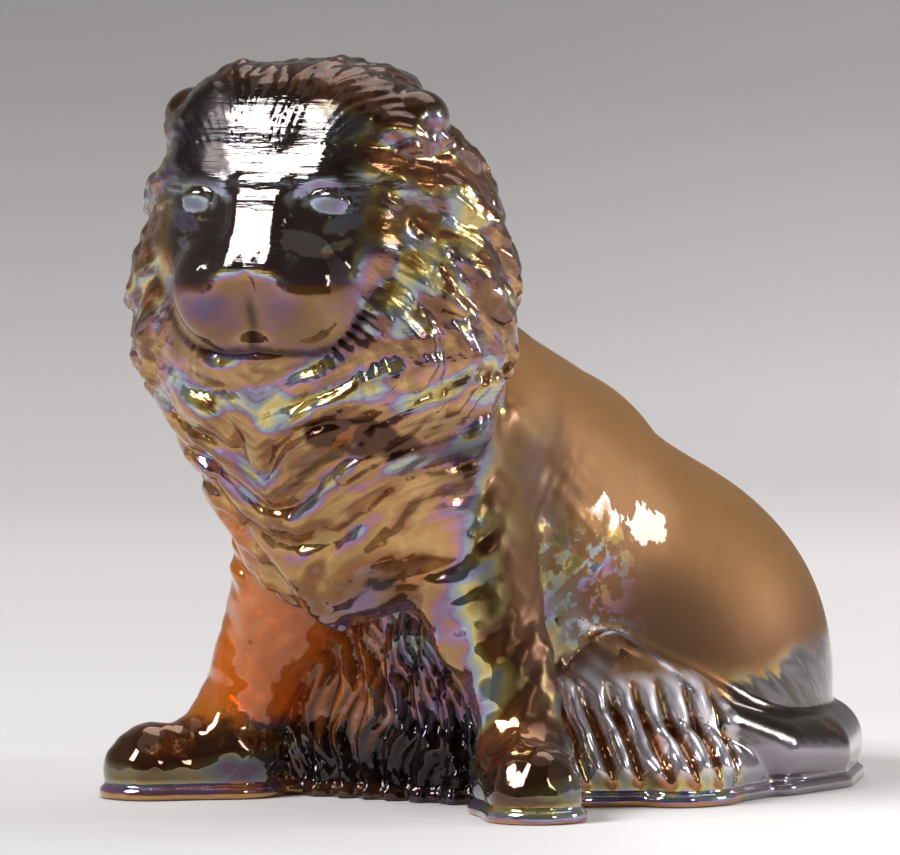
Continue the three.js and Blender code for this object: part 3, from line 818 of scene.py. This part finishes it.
def paint(mesh):
    """Stores the film with its painted reflection, the painted light and shade, and the share
    of each look at each point, for the material.
    """
    p = np.empty(len(mesh.vertices) * 3)
    mesh.vertices.foreach_get("co", p)
    p = p.reshape(-1, 3) / MM
    x, y, z = p.T
    angle = HEAD_TURN * ease(*NECK_Z, z)
    across = np.cos(angle) * x + np.sin(angle) * (y - HEAD_Y)
    side = np.abs(across)

    # The film's colour follows the way that the surface faces, partly a painted reflection:
    # parts that face down take the pale colours that the bright floor shows in the film, and
    # parts that face up stay brown
    n = outward(lion, p, 0.3)
    chest_part = ease(88, 72, z)[:, None]
    broad = np.zeros(p.shape)
    for reach, share in ((1.6, 1 - chest_part), (2.8, chest_part)):
        here = share[:, 0] > 0
        broad[here] += outward(lion, p[here], reach) * share[here]
    drift = 0.10 * ripple(x, y, z, 34, 21) + 0.07 * ripple(x, y, z, 13, 22)
    film_and_reflection = 0.24 - 0.62 * broad[:, 2] + drift

    # The face: painted dark where it faces up, a painted dark reflection, with paler patches
    # at the eyes, over a warm muzzle
    on_face = ease(-66, -72, y) * ease(94, 99, z) * ease(24, 17, side)
    calm = on_face * ease(102, 105, z)
    film_and_reflection = film_and_reflection + calm * (0.27 - 0.15 * n[:, 2] + 0.3 * drift - film_and_reflection)
    muzzle = ease(-70, -74, y) * ease(99, 97, z) * ease(82, 85, z) * ease(21, 17, side)
    puffs = np.exp(-(((side - 7.5) / 5.5) ** 2) - ((z - 93) / 4.0) ** 2)
    film_and_reflection = film_and_reflection + muzzle * (0.47 - 0.13 * puffs + 0.2 * drift - film_and_reflection)

    # The chest and the mane: pale bands across, painted gold reflections, and a few dark marks
    # of painted shade
    zigzag = z - 0.15 * side + 2.8 * ripple(x, y, z, 16, 43)
    bands = ease(-0.2, 0.6, np.cos(2 * math.pi * (zigzag - 74) / 12.5))
    on_bands = ease(88, 82, z) * ease(53, 58, z) * ease(-38, -46, y)
    film_and_reflection = film_and_reflection - 0.16 * on_bands * bands
    gold_reflection = mane_gold(p)
    # Painted reflections: the film turns gold in patches on the mane
    film_and_reflection = film_and_reflection + gold_reflection * (0.20 + 0.08 * ripple(x, y, z, 7, 47) - film_and_reflection)
    hollow, ember, moon = chest_marks(p)
    patch = eye_patches(side, y, z)
    # Painted reflection: the film turns pale blue in the patches at the eyes
    film_and_reflection = film_and_reflection + patch * (0.29 + 0.1 * drift - film_and_reflection)
    # Painted dark reflection: the face is painted near black where it faces up
    painted_dark_face = on_face * ease(0.02, 0.12, n[:, 2]) * (1 - patch)

    # The forehead keeps its gloss in a fan; outside the fan it has less coat, more roughness
    # and a colour painted near black, a painted shade
    edge = across + 1.1 * ripple(x, y, z, 5, 41) + 0.7 * ripple(x, y, z * 3, 4, 42)
    right_edge = 13.5 - 5.5 * ease(123, 131, z)
    fan = ease(-8.5, -6.5, edge) * ease(right_edge + 1, right_edge - 1, edge)
    outside_fan = on_face * ease(113, 116, z) * (1 - fan)
    # The mouth's crease is painted near black, a painted shade, and loses its gloss
    crease = ease(1.5, 0.4, off_mouth(side, z)) * ease(-64, -70, y) * ease(80, 83, z)

    # The shoulder and the outer side of the left front leg
    shoulder = ease(18, 26, x) * ease(-38, -29, y) * ease(-6, -16, y)
    shoulder = shoulder * ease(30, 44, z) * ease(78, 68, z)
    leg_side = ease(0.3, 0.6, broad[:, 0]) * ease(24, 28, x) * ease(-18, -26, y)
    leg_side = leg_side * ease(10, 18, z) * ease(76, 66, z)

    # The belly hair is painted dark between its strands and near its foot, a painted shade,
    # and is warm at its right end, where a painted glow of amber shows
    web_part = ease(24, 18, np.abs(x)) * ease(-32, -27, y) * ease(-12, -16, y)
    web_part = web_part * ease(40, 30, z)
    strand = strands((x + web_drift(x, y, z)) / WEB_PITCH)
    creases = np.clip(0.95 - 0.75 * strand**2 - 0.25 * ease(4, -8, x), 0, 1)
    web_shade = web_part * most(creases, 0.9 * ease(12, 3, z))
    film_and_reflection = film_and_reflection + 0.7 * web_part * (0.36 + 0.12 * ripple(x, y, z, 9, 49) - film_and_reflection)

    # Thinner film in patches down the left front leg
    leg_front = ease(12, 18, x) * ease(54, 44, z) * ease(14, 20, z) * ease(-26, -32, y)
    film_and_reflection = film_and_reflection - 0.12 * leg_front * ease(-0.3, 0.5, ripple(x, y, z, 12, 48))

    # Painted shade: the muzzle, the belly hair's creases and foot, the paws, the shoulder, the
    # outer side of the leg, the crown where it faces up, the eye patches, the chest hollow and
    # the place under the thigh are painted darker, and the mouth crease, the forehead outside
    # the fan and the half moon near black
    paws = ease(-12, -30, y) * ease(17, 11, z) * ease(2.4, 4, z)
    crown_top = ease(119, 126, z) * ease(-76, -71, y) * ease(0.1, 0.4, broad[:, 2])
    middle_line = ease(1.6, 0.3, side) * ease(96, 93, z)
    under_thigh = ease(46, 34, z) * ease(22, 27, z) * ease(24, 8, y)
    under_thigh = under_thigh * ease(-22, -14, y) * ease(24, 29, np.abs(x))
    shade = muzzle * (0.46 + 0.18 * puffs + 0.4 * middle_line + 0.3 * ease(15, 19, side))
    shade = shade + web_shade + 0.75 * paws + 0.45 * shoulder
    shade = shade + 0.72 * leg_side * (1 - shoulder) + 0.6 * crown_top
    shade = shade + 0.5 * patch + 0.45 * under_thigh
    shade = most(shade, 0.9 * crease, 0.9 * outside_fan, 0.9 * moon, 0.35 * hollow)

    # The body: satin back and flank, a painted reflection on the lower haunch and tail, and
    # painted highlights on the ribs at the knee
    # A painted highlight runs along this line down the thigh
    line = ease(1.1, 0.5, thigh_line(x, y, z))
    # Painted reflection on the lower haunch and tail: grey where they face down, as from the
    # floor, and dark where they face up
    painted_reflection = ease(2, 14, y)
    painted_reflection = painted_reflection * ease(25, 17, z - 0.22 * (y - 20) + 1.5 * ripple(x, y, z, 14, 44))
    painted_floor_reflection = ease(0.42, 0.15, broad[:, 2]) * (0.35 + 0.65 * ease(12, 9, z))
    satin = ease(-24, -8, y + 0.3 * (z - 40)) * ease(12, 26, z)
    satin = most(satin, 0.85 * shoulder) * (1 - painted_reflection) * (1 - ease(82, 92, z)) * (1 - line)
    fringe = ease(6, -6, y) * ease(-26, -20, y) * ease(56, 46, z) * ease(24, 29, z)
    fringe = fringe * ease(20, 25, x)

    # Where the hair's strokes show
    hair = ease(80, 88, z) * (1 - most(on_face * ease(90, 96, z), muzzle))
    hair = hair * (1 - 0.8 * gold_reflection)
    breast = 0.8 * ease(92, 84, z) * ease(46, 60, z) * ease(-34, -42, y) * (1 - muzzle)
    strokes = on_face * most(ease(112, 115, z), 0.6 * ease(7, 5, side))

    # Gloss, and added roughness in places
    chest_low = ease(34, 42, z) * ease(-38, -44, y)
    flat_top = ease(0.1, 0.4, n[:, 2])
    gleam = off(p, FLANK_GLEAM, (9, 11, 8)) + 0.25 * ripple(x, y, z, 5, 45)
    gloss = 1 - satin * (1 - ease(1.25, 0.95, gleam))
    gloss = gloss * (1 - most(shoulder, leg_side, outside_fan, crease))
    gloss = gloss * (1 - 0.5 * ease(80, 70, z) * chest_low) * (1 - 0.8 * painted_reflection * flat_top)
    gloss = gloss * (1 - 0.85 * most(hollow, moon)) * (1 - 0.6 * web_part)
    gloss = gloss * (1 - 0.5 * muzzle) * (1 - 0.6 * hair)
    dull = most(0.6 * painted_reflection * flat_top, 0.4 * hair, leg_side, outside_fan, 0.8 * gold_reflection)
    dull = most(dull, 0.35 * ease(88, 80, z) * chest_low)
    # Where light comes through the glass the film gives way to bright amber, a painted glow
    clear = ease(-6, -14, x) * ease(-6, -14, y) * ease(62, 46, z) * ease(10, 20, z)

    values = {
        "film_and_reflection": film_and_reflection,
        "satin": satin,
        # Painted light on the satin: lighter where it faces up and higher up
        "lit": 0.6 * ease(0.1, 0.6, n[:, 2]) + 0.4 * ease(20, 60, z),
        "clear": most(clear, 0.6 * web_part * ease(6, -8, x), ember),
        "painted_dark_face": painted_dark_face,
        "shade": np.clip(shade, 0, 1),
        "hollow_shade": hollow * (1 - ember),
        "painted_reflection": painted_reflection,
        "painted_floor_reflection": painted_floor_reflection,
        "painted_highlight": knee_pearl(x, y, z, line),
        "fringe": fringe,
        "hair": hair,
        "breast": breast,
        "brow": strokes,
        "gloss": gloss,
        "dull": dull,
    }
    for name, value in values.items():
        mesh.attributes.new(name, "FLOAT", "POINT").data.foreach_set("value", value)

    # Coordinates that run along the hair, for strokes that lie the same way
    round_face = 0.9 * round_the_face(side, y, z)
    from_face = np.linalg.norm(p - FACE_FRONT, axis=1)
    ways = {
        "hair_way": (round_face + 0.05 * from_face, 0.16 * from_face, 0.12 * across),
        "breast_way": (0.6 * wave_level(side, z), 0.10 * side, 0.08 * across),
        "haunch_way": (0.35 * (z + 0.8 * y), 0.05 * (y - z), 0.1 * x),
    }
    for name, way in ways.items():
        made = mesh.attributes.new(name, "FLOAT_VECTOR", "POINT")
        made.data.foreach_set("vector", np.stack(way, axis=1).ravel())


piece = lion_mesh()
paint(piece.data)


class Nodes:
    """A material's node tree, with short ways to add and join nodes."""

    def __init__(self, material):
        material.use_nodes = True
        self.tree = material.node_tree
        self.tree.nodes.clear()

    def add(self, kind, **sockets):
        node = self.tree.nodes.new(kind)
        for name, value in sockets.items():
            self.set(node, name.replace("_", " "), value)
        return node

    def set(self, node, name, value):
        """Joins a socket, or sets its value. A name of digits is a socket's number."""
        socket = node.inputs[int(name)] if name.isdigit() else node.inputs[name]
        if isinstance(value, bpy.types.NodeSocket):
            self.tree.links.new(value, socket)
        else:
            socket.default_value = value

    def math(self, operation, *values):
        node = self.tree.nodes.new("ShaderNodeMath")
        node.operation = operation
        for at, value in enumerate(values):
            self.set(node, str(at), value)
        return node.outputs[0]

    def value(self, name):
        node = self.tree.nodes.new("ShaderNodeAttribute")
        node.attribute_name = name
        return node.outputs["Fac"]

    def vector(self, name):
        node = self.tree.nodes.new("ShaderNodeAttribute")
        node.attribute_name = name
        return node.outputs["Vector"]

    def between(self, value, low, high):
        node = self.tree.nodes.new("ShaderNodeMapRange")
        for at, number in enumerate((value, low, high)):
            self.set(node, str(at), number)
        return node.outputs[0]

    def noise(self, place, scale, detail):
        node = self.add("ShaderNodeTexNoise", Vector=place, Scale=scale, Detail=detail)
        return node.outputs["Fac"]

    def ramp(self, value, stops):
        node = self.tree.nodes.new("ShaderNodeValToRGB")
        node.color_ramp.interpolation = "LINEAR"
        ends = node.color_ramp.elements
        for end, (at, colour) in zip((ends[0], ends[1]), (stops[0], stops[-1])):
            end.position = at
            end.color = (*colour, 1)
        for at, colour in stops[1:-1]:
            ends.new(at).color = (*colour, 1)
        self.set(node, "0", value)
        return node.outputs["Color"]

    def mix(self, share, a, b):
        node = self.tree.nodes.new("ShaderNodeMix")
        node.data_type = "RGBA"
        self.set(node, "0", share)
        self.set(node, "6", a)
        self.set(node, "7", b)
        return node.outputs[2]


# Colours of the film, from its thinnest to its thickest
FILM = [
    (0.00, (0.50, 0.19, 0.05)),
    (0.08, (0.34, 0.12, 0.03)),
    (0.13, (0.60, 0.40, 0.09)),
    (0.18, (0.80, 0.63, 0.20)),
    (0.23, (0.46, 0.52, 0.42)),
    (0.28, (0.38, 0.45, 0.58)),
    (0.33, (0.34, 0.21, 0.42)),
    (0.38, (0.54, 0.24, 0.28)),
    (0.44, (0.60, 0.30, 0.09)),
    (0.52, (0.66, 0.40, 0.13)),
    (0.60, (0.44, 0.19, 0.05)),
    (0.69, (0.34, 0.13, 0.03)),
    (0.76, (0.44, 0.25, 0.15)),
    (0.82, (0.34, 0.22, 0.40)),
    (0.88, (0.46, 0.22, 0.24)),
    (0.94, (0.62, 0.34, 0.09)),
    (1.00, (0.42, 0.18, 0.04)),
]
SATIN_SHADED = (0.27, 0.11, 0.035, 1)
SATIN_LIT = (0.60, 0.30, 0.09, 1)
AMBER_GLOW = (0.95, 0.27, 0.02, 1)
FACE_PAINTED_DARK = (0.09, 0.065, 0.06, 1)
SHADE = (0.02, 0.01, 0.01, 1)
FLOOR_REFLECTION_GREY = (0.36, 0.32, 0.37, 1)
DARK_REFLECTION = (0.05, 0.03, 0.02, 1)
HIGHLIGHT_WHITE = (0.95, 0.90, 0.96, 1)
SHADE_BROWN = (0.17, 0.065, 0.025, 1)


def glass_material():
    material = bpy.data.materials.new("iridised_amber_glass")
    nodes = Nodes(material)
    place = nodes.add("ShaderNodeTexCoord").outputs["Object"]
    numbers = {
        "Transmission Weight": 0.65,
        "IOR": 1.52,
        "Coat Roughness": 0.03,
        "Coat IOR": 1.6,
    }
    shader = nodes.add("ShaderNodeBsdfPrincipled", **numbers)
    # Bands of colour follow the film, and break up in fine wrinkles
    wrinkle = nodes.math("MULTIPLY_ADD", nodes.noise(place, 420.0, 2.0), 0.12, -0.06)
    drift = nodes.math("MULTIPLY_ADD", nodes.noise(place, 90.0, 2.0), 0.20, -0.10)
    film_and_reflection = nodes.math("ADD", nodes.math("ADD", nodes.value("film_and_reflection"), wrinkle), drift)
    # Strokes of hair lie the way that the mane and the chest run, painted dark brown between
    # them, a painted shade in the creases
    mane = nodes.noise(nodes.vector("hair_way"), 1.0, 3.0)
    breast = nodes.noise(nodes.vector("breast_way"), 1.0, 3.0)
    mane = nodes.math("MULTIPLY", nodes.between(mane, 0.37, 0.53), nodes.value("hair"))
    breast = nodes.math("MULTIPLY", nodes.between(breast, 0.44, 0.64), nodes.value("breast"))
    hair = nodes.math("ADD", mane, breast)
    film_and_reflection = nodes.math("MULTIPLY_ADD", hair, 0.07, film_and_reflection)
    satin = nodes.value("satin")
    # A painted glow of bright amber where light comes through, broken at its edges
    uneven = nodes.math("SUBTRACT", nodes.noise(place, 480.0, 3.0), 0.5)
    clear = nodes.math("MULTIPLY_ADD", uneven, 1.4, nodes.value("clear"))
    on_clear = nodes.between(nodes.value("clear"), 0.0, 0.2)
    clear = nodes.math("MULTIPLY", nodes.between(clear, 0.2, 0.6), on_clear)
    # Painted light: the satin turns lighter where it faces up and higher up
    tone = nodes.mix(nodes.value("lit"), SATIN_SHADED, SATIN_LIT)
    flecks = nodes.between(nodes.noise(place, 420.0, 3.0), 0.50, 0.56)
    flecks = nodes.math("MULTIPLY", flecks, nodes.value("fringe"))
    satin = nodes.math("MULTIPLY", satin, nodes.math("SUBTRACT", 1.0, flecks))
    # Painted reflection: grey streaks where the haunch and tail face down, dark elsewhere
    strand = nodes.noise(nodes.vector("haunch_way"), 1.0, 3.0)
    streak = nodes.between(strand, 0.44, 0.56)
    streak = nodes.math("MAXIMUM", streak, nodes.between(nodes.value("painted_floor_reflection"), 0.6, 0.9))
    painted_reflection = nodes.mix(nodes.math("MULTIPLY", streak, nodes.value("painted_floor_reflection")), DARK_REFLECTION, FLOOR_REFLECTION_GREY)
    bands = nodes.mix(nodes.math("MULTIPLY", mane, 0.85), nodes.ramp(film_and_reflection, FILM), SHADE_BROWN)
    bands = nodes.mix(nodes.math("MULTIPLY", breast, 0.75), bands, SHADE_BROWN)
    # Painted shade, dark brown, in the chest hollow
    bands = nodes.mix(nodes.value("hollow_shade"), bands, SHADE_BROWN)
    colour = nodes.mix(satin, bands, tone)
    edge = nodes.math("SUBTRACT", strand, 0.5)
    edge = nodes.math("MULTIPLY_ADD", edge, 2.4, nodes.value("painted_reflection"))
    in_painted_reflection = nodes.between(nodes.value("painted_reflection"), 0.0, 0.1)
    edge = nodes.math("MULTIPLY", nodes.between(edge, 0.3, 0.7), in_painted_reflection)
    colour = nodes.mix(edge, colour, painted_reflection)
    # Painted highlights, near white, on the ribs, the knee and the thigh line
    colour = nodes.mix(nodes.value("painted_highlight"), colour, HIGHLIGHT_WHITE)
    # Painted dark reflection on the face, and a painted amber glow where light comes through
    colour = nodes.mix(clear, nodes.mix(nodes.value("painted_dark_face"), colour, FACE_PAINTED_DARK), AMBER_GLOW)
    # Painted shade, towards near black
    nodes.set(shader, "Base Color", nodes.mix(nodes.value("shade"), colour, SHADE))
    metal = nodes.math("MULTIPLY_ADD", satin, -0.12, 0.58)
    nodes.set(shader, "Metallic", nodes.math("MULTIPLY_ADD", clear, -0.48, metal))
    rough = nodes.math("MULTIPLY_ADD", satin, 0.44, 0.08)
    rough = nodes.math("MULTIPLY_ADD", nodes.value("dull"), 0.25, rough)
    rough = nodes.math("MULTIPLY_ADD", nodes.value("painted_highlight"), 0.12, rough)
    nodes.set(shader, "Roughness", rough)
    nodes.set(shader, "Coat Weight", nodes.math("MULTIPLY", nodes.value("gloss"), 0.6))
    # Uneven glass, as it leaves the mould
    long = nodes.add("ShaderNodeMapping", Vector=place, Scale=(0.12, 0.12, 1.0)).outputs[0]
    strokes = nodes.math("MULTIPLY", nodes.noise(long, 1300.0, 3.0), nodes.value("brow"))
    strokes = nodes.math("MULTIPLY_ADD", hair, -0.5, nodes.math("MULTIPLY", strokes, 1.6))
    height = nodes.math("ADD", strokes, nodes.noise(place, 240.0, 2.0))
    bump = nodes.add("ShaderNodeBump", Strength=0.25, Distance=0.0004, Height=height)
    nodes.set(shader, "Normal", bump.outputs["Normal"])
    nodes.set(shader, "Coat Normal", bump.outputs["Normal"])
    # The amber in the glass, by how far light goes through it
    amber = nodes.add("ShaderNodeVolumeAbsorption", Color=(0.93, 0.56, 0.05, 1), Density=190.0)
    ends = {"Surface": shader.outputs["BSDF"], "Volume": amber.outputs["Volume"]}
    nodes.add("ShaderNodeOutputMaterial", **ends)
    return material


piece.data.materials.append(glass_material())
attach(piece, "root")
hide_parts("lion")


def frame_at(x, y, z, place):
    """The matrix that puts an object at a place, with its axes along x, y and z."""
    return Matrix(np.vstack([np.column_stack([x, y, z, place]), [0, 0, 0, 1]]).tolist())


def camera():
    """The photograph's view, from afar through a long lens."""
    data = bpy.data.cameras.new("camera")
    eye = bpy.data.objects.new("camera", data)
    bpy.context.scene.collection.objects.link(eye)
    sa, ca = math.sin(AZIMUTH), math.cos(AZIMUTH)
    se, ce = math.sin(ELEVATION), math.cos(ELEVATION)
    back = np.array([sa * ce, -ca * ce, se])
    right = np.array([ca, sa, 0])
    up = np.cross(back, right)
    place = back * DISTANCE
    # Aimed at what the middle of the picture shows, so that the lens needs no shift
    aside, above = IMAGE[0] / 2 - GROUND_PIXEL[0], GROUND_PIXEL[1] - IMAGE[1] / 2
    back = unit(place - (right * aside + up * above) / PIXELS_PER_MM)
    right = unit(np.cross([0, 0, 1], back))
    eye.matrix_world = frame_at(right, np.cross(back, right), back, place * MM)
    data.sensor_fit = "HORIZONTAL"
    data.sensor_width = SENSOR
    data.lens = SENSOR * PIXELS_PER_MM * DISTANCE / IMAGE[0]
    data.clip_end = 100
    bpy.context.scene.camera = eye


camera()


# The paper lies flat as far as FLOOR_EDGE, then sweeps up behind and at both sides into
# a wall, open at the front. Sizes are in metres.
FLOOR_EDGE = 0.95
COVE_RADIUS = 0.6
WALL_TOP = 2.4
FRONT_REACH = 3.0
OPEN_HALF = math.radians(48)
# Painted light on the paper: how bright it is, by the distance from its middle, then by height
# up the cove
FLOOR_REACH = (0, 0.12, 0.27, 0.44, 0.64, 0.95, 1.4, 3.0)
FLOOR_TONES = (0.72, 0.74, 0.76, 0.80, 0.89, 0.96, 0.45, 0.25)
COVE_HEIGHTS = (0, 0.009, 0.036, 0.08, 0.12, 0.2, 0.6)
COVE_TONES = (0.96, 0.91, 0.757, 0.59, 0.46, 0.40, 0.36)
WHITE_PAPER = (1, 0.955, 0.94, 1)


def paper_tone(r, h, turn):
    """The paper's painted light: brighter to the right and at the front right, with a painted
    shadow at the front left.
    """
    if h:
        tone = np.interp(h, COVE_HEIGHTS, COVE_TONES)
    else:
        tone = np.interp(r, FLOOR_REACH, FLOOR_TONES)
    right, away = r * math.sin(turn - AZIMUTH), -r * math.cos(turn - AZIMUTH)
    more = 0.13 * ease(-0.05, 0.12, right)
    more = more + 0.35 * ease(0.0, 0.08, right) * ease(0.15, 0.0, away)
    less = 0.12 * ease(-0.03, -0.10, right) * ease(0.08, -0.02, away)
    return float(min(tone * (1 + more - less), 0.99))


def floor_sheet():
    flat = [(r, 0.0) for r in np.linspace(0.03, FLOOR_EDGE, 12)]
    rows = list(flat)
    for a in np.linspace(0, math.pi / 2, 14)[1:]:
        rows.append((FLOOR_EDGE + COVE_RADIUS * math.sin(a), COVE_RADIUS * (1 - math.cos(a))))
    rows += [(FLOOR_EDGE + COVE_RADIUS, h) for h in np.linspace(0.7, WALL_TOP, 6)]
    front_rows = flat + [(r, 0.0) for r in (1.1, 1.25, 1.4, 1.8, 2.4, FRONT_REACH)]
    turns = np.linspace(AZIMUTH + OPEN_HALF, AZIMUTH + 2 * math.pi - OPEN_HALF, 49)
    front_turns = np.linspace(AZIMUTH - OPEN_HALF, AZIMUTH + OPEN_HALF, 15)
    middle_turns = np.linspace(0, 2 * math.pi, 25)
    points, faces, tones = [], [], []
    for sheet_rows, sheet_turns in (
        (rows, turns),
        (front_rows, front_turns),
        ([(0.0, 0.0), (0.03, 0.0)], middle_turns),
    ):
        first, n = len(points), len(sheet_turns)
        for r, h in sheet_rows:
            points.extend((r * math.sin(a), -r * math.cos(a), h) for a in sheet_turns)
            tones.extend(paper_tone(r, h, a) for a in sheet_turns)
        for i in range(len(sheet_rows) - 1):
            for j in range(n - 1):
                a = first + i * n + j
                faces.append((a, a + n, a + n + 1, a + 1))
    mesh = bpy.data.meshes.new("floor")
    mesh.from_pydata(points, [], faces)
    mesh.polygons.foreach_set("use_smooth", [True] * len(mesh.polygons))
    mesh.attributes.new("tone", "FLOAT", "POINT").data.foreach_set("value", tones)
    mesh.materials.append(paper_material())
    made = bpy.data.objects.new("floor", mesh)
    bpy.context.scene.collection.objects.link(made)


def paper_material():
    material = bpy.data.materials.new("pale_paper")
    nodes = Nodes(material)
    # Painted light on the paper, from black up to the white paper
    lit_paper = nodes.mix(nodes.value("tone"), (0, 0, 0, 1), WHITE_PAPER)
    finish = {"Base Color": lit_paper, "Roughness": 0.8, "Specular IOR Level": 0.2}
    paper = nodes.add("ShaderNodeBsdfPrincipled", **finish).outputs["BSDF"]
    # From outside, the sweep lets the view through to the lion. The lights are all
    # inside it, so their shadows needn't look for what is see-through.
    material.use_transparent_shadow = False
    outside = nodes.add("ShaderNodeNewGeometry").outputs["Backfacing"]
    through = nodes.add("ShaderNodeBsdfTransparent").outputs["BSDF"]
    sides = nodes.add("ShaderNodeMixShader", **{"0": outside, "1": paper, "2": through})
    nodes.add("ShaderNodeOutputMaterial", Surface=sides.outputs[0])
    return material


floor_sheet()


LION_MIDDLE = (0, -0.01, 0.07)
BEHIND_LION = (-0.05, 0.50, 0)


def softbox(name, towards, distance, size, power, colour=(1, 1, 1), target=LION_MIDDLE):
    """A rectangular light that looks at a target, in metres and watts."""
    way = unit(np.array(towards, float))
    data = bpy.data.lights.new(name, "AREA")
    data.shape = "RECTANGLE"
    data.size, data.size_y = size
    data.energy = power
    data.color = colour
    lamp = bpy.data.objects.new(name, data)
    bpy.context.scene.collection.objects.link(lamp)
    place = np.array(target) + way * distance
    side = unit(np.cross([0, 0.02, 1], way))
    top = np.cross(way, side)
    lamp.matrix_world = frame_at(side, top, way, place)


softbox("key", (-0.289, -0.697, 0.656), 1.1, (0.40, 0.55), 14, (0.93, 0.97, 1))
softbox("fill", (0.92, -0.25, 0.33), 1.2, (0.16, 0.3), 1.5)
softbox("side", (0.74, 0.62, 0.25), 1.2, (0.26, 0.26), 4)
softbox("top", (0.1, 0.10, 0.98), 1.3, (1.4, 1.4), 1.8)
softbox("back", (0, 0, 1), 0.95, (1.0, 0.8), 4.0, target=BEHIND_LION)

world = bpy.data.worlds.new("studio")
bpy.context.scene.world = world
world.use_nodes = True
world.node_tree.nodes["Background"].inputs["Color"].default_value = (0.035, 0.03, 0.03, 1)
bpy.context.scene.view_settings.view_transform = "Standard"
